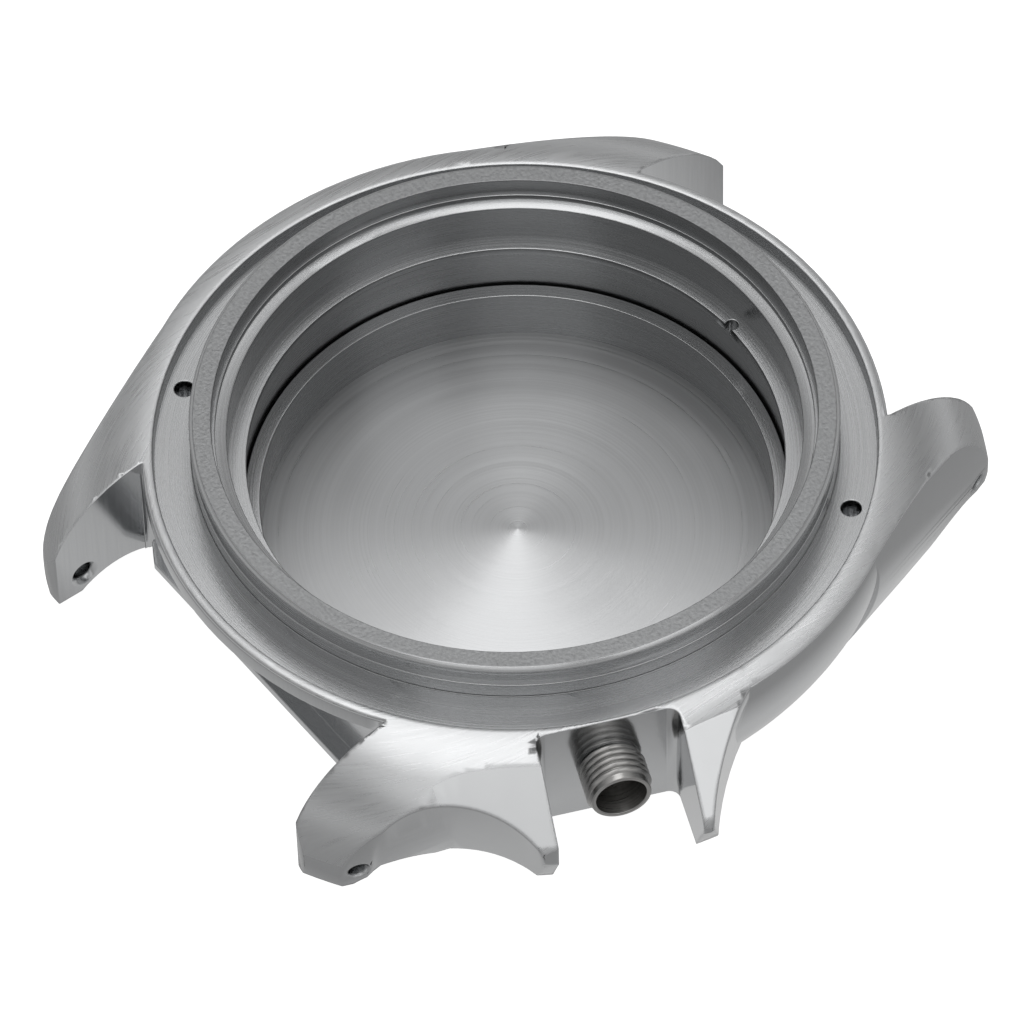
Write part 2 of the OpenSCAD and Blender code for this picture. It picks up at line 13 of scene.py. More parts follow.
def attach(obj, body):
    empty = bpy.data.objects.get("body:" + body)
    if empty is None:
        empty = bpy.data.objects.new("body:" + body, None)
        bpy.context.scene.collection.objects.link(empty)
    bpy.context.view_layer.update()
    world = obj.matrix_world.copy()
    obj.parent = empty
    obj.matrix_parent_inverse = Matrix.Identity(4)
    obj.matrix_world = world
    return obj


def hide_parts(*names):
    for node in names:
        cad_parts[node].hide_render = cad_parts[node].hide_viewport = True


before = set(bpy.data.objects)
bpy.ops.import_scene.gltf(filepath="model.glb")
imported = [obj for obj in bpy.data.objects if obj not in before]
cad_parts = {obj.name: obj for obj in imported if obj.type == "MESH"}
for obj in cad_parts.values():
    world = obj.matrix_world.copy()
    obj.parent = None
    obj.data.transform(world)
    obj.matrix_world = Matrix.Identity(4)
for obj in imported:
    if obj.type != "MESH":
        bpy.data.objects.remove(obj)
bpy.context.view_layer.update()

MM = 0.001
CROWN_ANGLE = math.radians(-22.5)
CROWN_AXIS = Vector((math.cos(CROWN_ANGLE), math.sin(CROWN_ANGLE), 0.0))
CROWN_HEIGHT = 5.1 * MM

# Distance within which a face lies at a named place, and within which two points of a new shape are one
SLACK, MERGE = 0.05 * MM, 0.001 * MM
# How far up a face's normal points: less on a wall, more on a rounded rim, a level face and a flat top
WALL_BELOW, RIM_ABOVE, LEVEL_ABOVE, FLAT_ABOVE = 0.5, 0.1, 0.9, 0.999
# Nearly all of a noise lies between these two values
NOISE_LOW, NOISE_HIGH = 0.3, 0.7
# Cloudy patches that shift the roughness: their width, and their share beside the grain
PATCH_MM, PATCH_SHARE = 4.0, 0.35
# No steel here is smoother than this
LEAST_ROUGHNESS = 0.02
# Wear of the edges by distance from the case's axis: where it starts to grow, where it is full, and its least
WEAR_START_R, WEAR_FULL_R, LEAST_WEAR = 20.5 * MM, 24 * MM, 0.04 * MM
# The brush's way over the top: straight along the flanks up to here, then round an end of this radius
BRUSH_STRAIGHT_Y, BRUSH_END_R = 9 * MM, 20 * MM
# Slanting way along which the marks of a turned face change, so that no ring is the same all round
DRIFT = (0.6, 0.8, 0.3)
# Turn, in full circles, that lays a highlight's stretch across the marks
QUARTER_TURN = 0.25
# Weight of large flat faces over small rounds when normals are averaged, the most that there is
FLAT_FACE_WEIGHT = 100

# The sockets of a grain's coordinates and of its tangent, where it has a direction
MarkSockets = tuple[bpy.types.NodeSocket, bpy.types.NodeSocket | None]

log = logging.getLogger("watch_case")


def linear(hex_colour: str) -> tuple[float, float, float, float]:
    """Turns an sRGB hex colour into linear RGBA.

    Args:
        hex_colour: Six hex digits, with or without a leading hash sign.

    Returns:
        The colour as four linear values, with full opacity.
    """
    digits = hex_colour.lstrip("#")
    values = [int(digits[i : i + 2], 16) / 255 for i in (0, 2, 4)]
    r, g, b = [v / 12.92 if v <= 0.04045 else ((v + 0.055) / 1.055) ** 2.4 for v in values]
    return (r, g, b, 1.0)


def add(tree: bpy.types.NodeTree, kind: str, settings: dict[str, object] | None = None,
        inputs: dict[str | int, object] | None = None) -> bpy.types.Node:
    """Adds one node with its settings, values and links.

    Args:
        tree: The node tree that takes the node.
        kind: The node's type name.
        settings: Attributes of the node, by name.
        inputs: Values or output sockets for its input sockets, by socket name or number.

    Returns:
        The new node.
    """
    node = tree.nodes.new(kind)
    for name, value in (settings or {}).items():
        setattr(node, name, value)
    for name, value in (inputs or {}).items():
        if isinstance(value, bpy.types.NodeSocket):
            tree.links.new(value, node.inputs[name])
        else:
            node.inputs[name].default_value = value
    return node


def blank_material(name: str) -> tuple[bpy.types.Material, bpy.types.NodeTree]:
    """Makes a material without any nodes.

    Args:
        name: Name of the material.

    Returns:
        The material and its empty node tree.
    """
    material = bpy.data.materials.new(name)
    material.use_nodes = True
    material.node_tree.nodes.clear()
    return material, material.node_tree


class Grain(Enum):
    """Ways in which a tool leaves its marks on a surface."""

    CASE_RINGS = "turned round the case's axis"
    CROWN_RINGS = "turned round the crown axis"
    STADIUM = "brushed along the top, round each end of the case"
    UPRIGHT = "milled or brushed up and down"
    CLOUDY = "polished, blasted or moulded, without a direction"


@dataclass(frozen=True)
class Steel:
    """One finish of stainless steel.

    Attributes:
        name: Name of the material.
        colour: The steel's colour as sRGB hex.
        roughness: Mean roughness of the surface.
        spread: How far the roughness wanders with the grain.
        anisotropy: How much the marks stretch a highlight across themselves.
        grain: Direction of the marks.
        grain_mm: Width of one mark, drawn as coarse as it needs to show.
        stretch: Length of a mark over its width.
        relief_mm: Depth of the marks.
        tint: Share by which the marks darken the colour.
        soft_mm: Radius of the wear on edges out at the tips of lugs and guards, or 0 for no wear.
        dish: Slope of a turned floor, upwards to its middle, or 0 for a flat one.
    """

    name: str
    colour: str
    roughness: float
    spread: float
    anisotropy: float
    grain: Grain
    grain_mm: float
    stretch: float
    relief_mm: float
    tint: float
    soft_mm: float = 0.0
    dish: float = 0.0

    def build(self) -> bpy.types.Material:
        """Makes the material's nodes.

        Returns:
            The finished material.
        """
        material, tree = blank_material(self.name)
        place = add(tree, "ShaderNodeTexCoord").outputs["Object"]
        marks, tangent = self.lay_marks(tree, place)
        noise = add(tree, "ShaderNodeTexNoise", {"noise_dimensions": "3D"},
                    {"Vector": marks, "Scale": 1.0, "Detail": 3.0, "Roughness": 0.6})
        patches = add(tree, "ShaderNodeTexNoise", {"noise_dimensions": "3D"},
                      {"Vector": place, "Scale": 1 / (PATCH_MM * MM), "Detail": 2.0})
        both = add(tree, "ShaderNodeMath", {"operation": "MULTIPLY_ADD"},
                   {0: patches.outputs["Fac"], 1: PATCH_SHARE, 2: noise.outputs["Fac"]})
        smoothest = max(self.roughness - self.spread, LEAST_ROUGHNESS)
        rough = add(tree, "ShaderNodeMapRange", {},
                    {"Value": both.outputs[0], "From Min": NOISE_LOW, "From Max": NOISE_HIGH + PATCH_SHARE,
                     "To Min": smoothest, "To Max": self.roughness + self.spread})
        dark = add(tree, "ShaderNodeMapRange", {},
                   {"Value": noise.outputs["Fac"], "From Min": NOISE_LOW, "From Max": NOISE_HIGH,
                    "To Min": 1 - self.tint, "To Max": 1.0})
        shade = add(tree, "ShaderNodeMix", {"data_type": "RGBA", "blend_type": "MULTIPLY"},
                    {"Factor": 1.0, "A": linear(self.colour), "B": dark.outputs["Result"]})
        bump = add(tree, "ShaderNodeBump", {},
                   {"Strength": 1.0, "Distance": self.relief_mm * MM, "Height": noise.outputs["Fac"]})
        if self.soft_mm:
            tree.links.new(self.lay_wear(tree, place), bump.inputs["Normal"])
        if self.dish:
            tree.links.new(self.lay_dish(tree, place), bump.inputs["Normal"])
        links = {"Base Color": shade.outputs["Result"], "Metallic": 1.0,
                 "Roughness": rough.outputs["Result"], "Anisotropic": self.anisotropy,
                 "Anisotropic Rotation": QUARTER_TURN, "Normal": bump.outputs["Normal"]}
        if tangent is not None:
            links["Tangent"] = tangent
        shader = add(tree, "ShaderNodeBsdfPrincipled", {}, links)
        add(tree, "ShaderNodeOutputMaterial", {}, {"Surface": shader.outputs["BSDF"]})
        return material

    def lay_wear(self, tree: bpy.types.NodeTree, place: bpy.types.NodeSocket) -> bpy.types.NodeSocket:
        """Rounds the look of edges by the buff's wear, which grows towards the tips of lugs and guards.

        Args:
            tree: The material's node tree.
            place: Object coordinates in metres.

        Returns:
            The socket of the normal.
        """
        flat = add(tree, "ShaderNodeVectorMath", {"operation": "MULTIPLY"}, {0: place, 1: (1, 1, 0)})
        reach = add(tree, "ShaderNodeVectorMath", {"operation": "LENGTH"}, {0: flat.outputs["Vector"]})
        radius = add(tree, "ShaderNodeMapRange", {},
                     {"Value": reach.outputs["Value"], "From Min": WEAR_START_R, "From Max": WEAR_FULL_R,
                      "To Min": LEAST_WEAR, "To Max": self.soft_mm * MM})
        worn = add(tree, "ShaderNodeBevel", {"samples": 6}, {"Radius": radius.outputs["Result"]})
        return worn.outputs["Normal"]

    def lay_dish(self, tree: bpy.types.NodeTree, place: bpy.types.NodeSocket) -> bpy.types.NodeSocket:
        """Tilts the normal of a turned floor outwards, as on one that is a touch higher in its middle.

        Args:
            tree: The material's node tree.
            place: Object coordinates in metres.

        Returns:
            The socket of the normal.
        """
        flat = add(tree, "ShaderNodeVectorMath", {"operation": "MULTIPLY"}, {0: place, 1: (1, 1, 0)})
        out = add(tree, "ShaderNodeVectorMath", {"operation": "NORMALIZE"}, {0: flat.outputs["Vector"]})
        tilt = add(tree, "ShaderNodeVectorMath", {"operation": "MULTIPLY_ADD"},
                   {0: out.outputs["Vector"], 1: (self.dish,) * 3, 2: (0, 0, 1)})
        unit = add(tree, "ShaderNodeVectorMath", {"operation": "NORMALIZE"}, {0: tilt.outputs["Vector"]})
        return unit.outputs["Vector"]

    def lay_marks(self, tree: bpy.types.NodeTree, place: bpy.types.NodeSocket) -> MarkSockets:
        """Lays the grain's coordinates, counted in marks, along the way in which the tool ran.

        Args:
            tree: The material's node tree.
            place: Object coordinates in metres.

        Returns:
            The socket of the coordinates and the socket of the tangent, or None without a direction.
        """
        across = 1 / (self.grain_mm * MM)
        along = 1 / (self.grain_mm * self.stretch * MM)
        if self.grain is Grain.CLOUDY:
            scaled = add(tree, "ShaderNodeVectorMath", {"operation": "SCALE"}, {0: place, "Scale": across})
            return scaled.outputs["Vector"], None
        if self.grain is Grain.UPRIGHT:
            scaled = add(tree, "ShaderNodeVectorMath", {"operation": "MULTIPLY"},
                         {0: place, 1: (across, across, along)})
            upwards = add(tree, "ShaderNodeCombineXYZ", {}, {"Z": 1.0})
            return scaled.outputs["Vector"], upwards.outputs[0]
        if self.grain is Grain.STADIUM:
            return self.lay_stadium(tree, place, across, along)
        axis, centre = Vector((0, 0, 1)), Vector((0, 0, 0))
        if self.grain is Grain.CROWN_RINGS:
            axis, centre = CROWN_AXIS, Vector((0, 0, CROWN_HEIGHT))
        arm = add(tree, "ShaderNodeVectorMath", {"operation": "SUBTRACT"}, {0: place, 1: centre})
        tangent = add(tree, "ShaderNodeVectorMath", {"operation": "CROSS_PRODUCT"},
                      {0: axis, 1: arm.outputs["Vector"]})
        unit = add(tree, "ShaderNodeVectorMath", {"operation": "NORMALIZE"}, {0: tangent.outputs["Vector"]})
        radius = add(tree, "ShaderNodeVectorMath", {"operation": "LENGTH"}, {0: tangent.outputs["Vector"]})
        height = add(tree, "ShaderNodeVectorMath", {"operation": "DOT_PRODUCT"},
                     {0: arm.outputs["Vector"], 1: axis})
        drift = add(tree, "ShaderNodeVectorMath", {"operation": "DOT_PRODUCT"},
                    {0: arm.outputs["Vector"], 1: DRIFT})
        joined = add(tree, "ShaderNodeCombineXYZ", {},
                     {"X": radius.outputs["Value"], "Y": height.outputs["Value"],
                      "Z": drift.outputs["Value"]})
        scaled = add(tree, "ShaderNodeVectorMath", {"operation": "MULTIPLY"},
                     {0: joined.outputs[0], 1: (across, across, along)})
        return scaled.outputs["Vector"], unit.outputs["Vector"]

    def lay_stadium(self, tree: bpy.types.NodeTree, place: bpy.types.NodeSocket, across: float,
                    along: float) -> MarkSockets:
        """Lays the marks of a brush that runs straight along the flanks and round each end.

        Args:
            tree: The material's node tree.
            place: Object coordinates in metres.
            across: Marks to a metre across the brush's way.
            along: Marks to a metre along it.

        Returns:
            The socket of the coordinates and the socket of the tangent.
        """
        parts = add(tree, "ShaderNodeSeparateXYZ", {}, {0: place})
        straight = add(tree, "ShaderNodeClamp", {},
                       {"Value": parts.outputs["Y"], "Min": -BRUSH_STRAIGHT_Y, "Max": BRUSH_STRAIGHT_Y})
        end_y = add(tree, "ShaderNodeMath", {"operation": "SUBTRACT"},
                    {0: parts.outputs["Y"], 1: straight.outputs[0]})
        side_x = add(tree, "ShaderNodeMath", {"operation": "ABSOLUTE"}, {0: parts.outputs["X"]})
        arm = add(tree, "ShaderNodeCombineXYZ", {}, {"X": parts.outputs["X"], "Y": end_y.outputs[0]})
        radius = add(tree, "ShaderNodeVectorMath", {"operation": "LENGTH"}, {0: arm.outputs[0]})
        turn = add(tree, "ShaderNodeMath", {"operation": "ARCTAN2"},
                   {0: end_y.outputs[0], 1: side_x.outputs[0]})
        way = add(tree, "ShaderNodeMath", {"operation": "MULTIPLY_ADD"},
                  {0: turn.outputs[0], 1: BRUSH_END_R, 2: straight.outputs[0]})
        joined = add(tree, "ShaderNodeCombineXYZ", {},
                     {"X": radius.outputs["Value"], "Y": way.outputs[0], "Z": parts.outputs["X"]})
        scaled = add(tree, "ShaderNodeVectorMath", {"operation": "MULTIPLY"},
                     {0: joined.outputs[0], 1: (across, along, along)})
        tangent = add(tree, "ShaderNodeVectorMath", {"operation": "CROSS_PRODUCT"},
                      {0: (0, 0, 1), 1: arm.outputs[0]})
        unit = add(tree, "ShaderNodeVectorMath", {"operation": "NORMALIZE"}, {0: tangent.outputs["Vector"]})
        return scaled.outputs["Vector"], unit.outputs["Vector"]


# Stainless steel as the brush leaves it: fine scratches that glint in a band across their own way
BRUSHED_TOP = Steel("steel_brushed_top", "#CDCECF", roughness=0.30, spread=0.10, anisotropy=0.6,
                    grain=Grain.STADIUM, grain_mm=0.08, stretch=45, relief_mm=0.006, tint=0.08, soft_mm=0.3)
# Stainless steel buffed bright: clear reflections, softened a little by the buff
POLISHED = Steel("steel_polished", "#C6C7C8", roughness=0.14, spread=0.02, anisotropy=0.0,
                 grain=Grain.CLOUDY, grain_mm=0.8, stretch=1, relief_mm=0.0006, tint=0.02, soft_mm=0.3)
# Stainless steel off the lathe: fine rings with a fan of light across them
TURNED = Steel("steel_turned", "#C4C5C6", roughness=0.26, spread=0.07, anisotropy=0.7,
               grain=Grain.CASE_RINGS, grain_mm=0.09, stretch=160, relief_mm=0.006, tint=0.16)
# The neck's top face, lapped and then etched by cleaning: dull, with small clouds
FROSTED_NECK = Steel("steel_frosted_neck", "#A9AAAB", roughness=0.42, spread=0.08, anisotropy=0.0,
                     grain=Grain.CLOUDY, grain_mm=0.20, stretch=1, relief_mm=0.022, tint=0.34)
# Bored walls as the boring bar leaves them, a little duller, with painted shade: a colour darker than the
# faces stands for the shade inside the bores
BORED_PAINTED_SHADE = Steel("steel_bored_painted_shade", "#8E8F90", roughness=0.28, spread=0.08, anisotropy=0.4,
              grain=Grain.CASE_RINGS, grain_mm=0.12, stretch=120, relief_mm=0.006, tint=0.20)
# Milled walls of the strap gaps, with faint upright cutter marks
GAP_WALLS = Steel("steel_gap_walls", "#C8C9CA", roughness=0.16, spread=0.04, anisotropy=0.3,
                  grain=Grain.UPRIGHT, grain_mm=0.16, stretch=30, relief_mm=0.0015, tint=0.06)
# The back's inner floor, turned in one pass from rim to centre and a touch higher in its middle
CUP_FLOOR = Steel("steel_cup_floor", "#C8C9CA", roughness=0.30, spread=0.05, anisotropy=0.85,
                  grain=Grain.CASE_RINGS, grain_mm=0.12, stretch=260, relief_mm=0.004, tint=0.10, dish=0.09)
# The crown tube, cut on a small lathe and handled since: greyer than the case
TUBE = Steel("steel_crown_tube", "#B9B8B6", roughness=0.30, spread=0.08, anisotropy=0.4,
             grain=Grain.CROWN_RINGS, grain_mm=0.08, stretch=40, relief_mm=0.006, tint=0.30)


@dataclass(frozen=True)
class Rubber:
    """Black nitrile rubber, moulded: dull, with the faintest grain.

    Attributes:
        name: Name of the material.
        colour: The rubber's colour as sRGB hex.
        grain_mm: Width of the grain.
        relief_mm: Depth of the grain.
        smoothest: Least roughness of the surface.
        roughest: Greatest roughness of the surface.
        ior: How strongly the surface reflects, as an index of refraction.
    """

    name: str = "nitrile_rubber"
    colour: str = "#1B1B1C"
    grain_mm: float = 0.08
    relief_mm: float = 0.004
    smoothest: float = 0.5
    roughest: float = 0.75
    ior: float = 1.52

    def build(self) -> bpy.types.Material:
        """Makes the material's nodes.

        Returns:
            The finished material.
        """
        material, tree = blank_material(self.name)
        place = add(tree, "ShaderNodeTexCoord").outputs["Object"]
        noise = add(tree, "ShaderNodeTexNoise", {}, {"Vector": place, "Scale": 1 / (self.grain_mm * MM)})
        rough = add(tree, "ShaderNodeMapRange", {},
                    {"Value": noise.outputs["Fac"], "To Min": self.smoothest, "To Max": self.roughest})
        bump = add(tree, "ShaderNodeBump", {},
                   {"Distance": self.relief_mm * MM, "Height": noise.outputs["Fac"]})
        shader = add(tree, "ShaderNodeBsdfPrincipled", {},
                     {"Base Color": linear(self.colour), "Roughness": rough.outputs["Result"],
                      "IOR": self.ior, "Normal": bump.outputs["Normal"]})
        add(tree, "ShaderNodeOutputMaterial", {}, {"Surface": shader.outputs["BSDF"]})
        return material


class Paintbox:
    """Holds each finish's material, so that pieces share it."""

    def __init__(self) -> None:
        """Starts with no material made."""
        self.made: dict[str, bpy.types.Material] = {}

    def get(self, finish: Steel | Rubber) -> bpy.types.Material:
        """Gives the finish's material and makes it at the first call.

        Args:
            finish: The finish that a piece wears.

        Returns:
            The material, the same one for all pieces.
        """
        if finish.name not in self.made:
            self.made[finish.name] = finish.build()
        return self.made[finish.name]


def piece_from(bm: bmesh.types.BMesh, name: str, finishes: list[Steel | Rubber], paint: Paintbox,
               body: str, nodes: list[str]) -> bpy.types.Object:
    """Makes an object of a bmesh, smooths it, dresses it and hands it to its body.

    Args:
        bm: The shape in metres, which is freed here.
        name: Name of the piece.
        finishes: Finishes in the order of the faces' material numbers.
        paint: Where the materials come from.
        body: Body that the piece rides on.
        nodes: CAD nodes that it stands for.

    Returns:
        The piece.
    """
    mesh = bpy.data.meshes.new(name)
    for face in bm.faces:
        face.smooth = True
    bm.to_mesh(mesh)
    bm.free()
    piece = bpy.data.objects.new(name, mesh)
    bpy.context.scene.collection.objects.link(piece)
    for finish in finishes:
        mesh.materials.append(paint.get(finish))
    weights = piece.modifiers.new("weighted normals", "WEIGHTED_NORMAL")
    weights.mode = "FACE_AREA"
    weights.weight = FLAT_FACE_WEIGHT
    weights.keep_sharp = True
    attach(piece, body)
    if nodes:
        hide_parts(*nodes)
    log.info("%s: %d faces", name, len(mesh.polygons))
    return piece


@dataclass(frozen=True)
class EdgeBreak:
    """How sharp edges of a machined piece are broken.

    Attributes:
        width: Width of the small round on each edge.
        steps: Faces across that round.
        angle: Bend, in radians, from which an edge counts as sharp.
        fold: Bend, in radians, from which an edge is the fold of a sliver and isn't rounded.
        join: Distance within which points of the fine mesh are one point.
        flat: Bend, in radians, up to which two faces count as one flat face.
    """

    width: float = 0.06 * MM
    steps: int = 2
    angle: float = math.radians(22)
    fold: float = math.radians(120)
    join: float = 0.004 * MM
    flat: float = math.radians(0.03)

    def copy_of(self, node: str) -> bmesh.types.BMesh:
        """Takes a merged copy of a CAD node's mesh, with its flat faces joined.

        Args:
            node: Name of the CAD node.

        Returns:
            The copy, whose points are shared between faces.
        """
        bm = bmesh.new()
        bm.from_mesh(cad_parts[node].data)
        bmesh.ops.remove_doubles(bm, verts=bm.verts, dist=self.join)
        bmesh.ops.dissolve_degenerate(bm, dist=self.join, edges=bm.edges)
        bmesh.ops.dissolve_limit(bm, angle_limit=self.flat, verts=bm.verts, edges=bm.edges)
        return bm

    def cut(self, bm: bmesh.types.BMesh) -> None:
        """Rounds every sharp outer edge by a small width, and keeps inner corners crisp.

        Args:
            bm: The shape, whose points are shared between faces.
        """
        bent = [e for e in bm.edges if e.is_manifold and e.calc_face_angle(0.0) > self.angle]
        sharp = [e for e in bent if e.is_convex and e.calc_face_angle(0.0) < self.fold]
        for edge in set(bent) - set(sharp):
            edge.smooth = False
        bmesh.ops.bevel(bm, geom=sharp, offset=self.width, offset_type="OFFSET", segments=self.steps,
                        profile=0.5, affect="EDGES", clamp_overlap=False, loop_slide=True, material=-1)


class Zone(Enum):
    """Regions of the case middle, each with its own finish. The value is the material's number."""

    POLISHED = 0
    TOP = 1
    TURNED = 2
    NECK = 3
    BORED_PAINTED_SHADE = 4
    GAP = 5


@dataclass
class CaseMiddle:
    """The machined middle of the case, with lugs, guards, neck and bores.

    Attributes:
        top_z: Height of the brushed top.
        neck_z: Height of the neck's top face.
        channel_r: Outer radius of the bezel channel.
        channel_reach: How far under the top the turned ring round the neck counts.
        seat_r: Radius of the crystal seat, the widest bore.
        dome_r: Radius of the arc by which the top falls to the sides.
        gap_half: Half the width of a strap gap.
        gap_wall_y: Distance of a strap gap's inner wall from the middle.
        edges: How its edges are broken.
    """

    top_z: float = 8.8 * MM
    neck_z: float = 11.2 * MM
    channel_r: float = 19.5 * MM
    channel_reach: float = 1 * MM
    seat_r: float = 16.25 * MM
    dome_r: float = 6.34 * MM
    gap_half: float = 11 * MM
    gap_wall_y: float = 16.45 * MM
    edges: EdgeBreak = field(default_factory=EdgeBreak)

    def zone_of(self, face: bmesh.types.BMFace) -> Zone:
        """Says to which region a face belongs.

        Args:
            face: A face of the case middle before its edges are broken.

        Returns:
            The region.
        """
        centre, normal = face.calc_center_median(), face.normal
        radius = math.hypot(centre.x, centre.y)
        outward = (normal.x * centre.x + normal.y * centre.y) / max(radius, SLACK)
        upright = abs(normal.z) < WALL_BELOW
        if radius < self.seat_r + SLACK and centre.z < self.neck_z - SLACK:
            return Zone.BORED_PAINTED_SHADE if upright else Zone.TURNED
        if centre.z > self.neck_z - SLACK and normal.z > LEVEL_ABOVE:
            return Zone.NECK
        if self.seat_r < radius < self.channel_r + SLACK and centre.z > self.top_z - self.channel_reach:
            return Zone.TURNED
        if normal.z > FLAT_ABOVE and centre.z > self.top_z - SLACK:
            return Zone.TOP
        from_arc = math.hypot(radius - self.channel_r, centre.z - (self.top_z - self.dome_r)) - self.dome_r
        if radius > self.channel_r and normal.z > RIM_ABOVE and abs(from_arc) < SLACK and outward > 0:
            return Zone.TOP
        in_gap = abs(centre.x) < self.gap_half + SLACK and abs(centre.y) > self.gap_wall_y - SLACK
        if in_gap and upright:
            return Zone.GAP
        return Zone.TURNED if normal.z < -LEVEL_ABOVE else Zone.POLISHED

    def build(self, paint: Paintbox) -> bpy.types.Object:
        """Makes the piece from the CAD node's fine mesh, with broken edges and a finish for each zone.

        Args:
            paint: Where the materials come from.

        Returns:
            The piece.
        """
        bm = self.edges.copy_of("mid_case")
        for face in bm.faces:
            face.material_index = self.zone_of(face).value
        self.edges.cut(bm)
        # The bored walls wear a darker colour, painted shade for the shade inside the bores
        worn_by = {Zone.POLISHED: POLISHED, Zone.TOP: BRUSHED_TOP, Zone.TURNED: TURNED,
                   Zone.NECK: FROSTED_NECK, Zone.BORED_PAINTED_SHADE: BORED_PAINTED_SHADE, Zone.GAP: GAP_WALLS}
        finishes = [worn_by[zone] for zone in Zone]
        return piece_from(bm, "case_middle", finishes, paint, "case", ["mid_case"])


class BackZone(Enum):
    """Regions of the back, each with its own finish. The value is the material's number."""

    FLOOR = 0
    CUP_WALL = 1
    REST = 2


@dataclass
class ScrewBack:
    """The screw-in back, whose inner floor fills the middle of the case, and its gasket.

    Attributes:
        floor_z: Height of the inner floor.
        cup_r: Radius of the cup round that floor.
        edges: How its edges are broken.
    """

    floor_z: float = 1.01 * MM
    cup_r: float = 13.92 * MM
    edges: EdgeBreak = field(default_factory=EdgeBreak)

    def zone_of(self, face: bmesh.types.BMFace) -> BackZone:
        """Says to which region a face belongs.

        Args:
            face: A face of the back before its edges are broken.

        Returns:
            The region.
        """
        centre = face.calc_center_median()
        radius = math.hypot(centre.x, centre.y)
        at_floor = radius < self.cup_r and abs(centre.z - self.floor_z) < SLACK
        if at_floor and face.normal.z > LEVEL_ABOVE:
            return BackZone.FLOOR
        if radius < self.cup_r + SLACK and abs(face.normal.z) < WALL_BELOW:
            return BackZone.CUP_WALL
        return BackZone.REST

    def build(self, paint: Paintbox) -> list[bpy.types.Object]:
        """Makes the back and its gasket.

        Args:
            paint: Where the materials come from.

        Returns:
            The pieces.
        """
        bm = self.edges.copy_of("caseback")
        for face in bm.faces:
            face.material_index = self.zone_of(face).value
        self.edges.cut(bm)
        # The cup's wall wears the bored steel, whose darker colour is painted shade
        worn_by = {BackZone.FLOOR: CUP_FLOOR, BackZone.CUP_WALL: BORED_PAINTED_SHADE, BackZone.REST: TURNED}
        finishes = [worn_by[zone] for zone in BackZone]
        ring = self.edges.copy_of("caseback_gasket")
        return [
            piece_from(bm, "screw_back", finishes, paint, "back", ["caseback"]),
            piece_from(ring, "back_gasket", [Rubber()], paint, "gasket_ring", ["caseback_gasket"]),
        ]


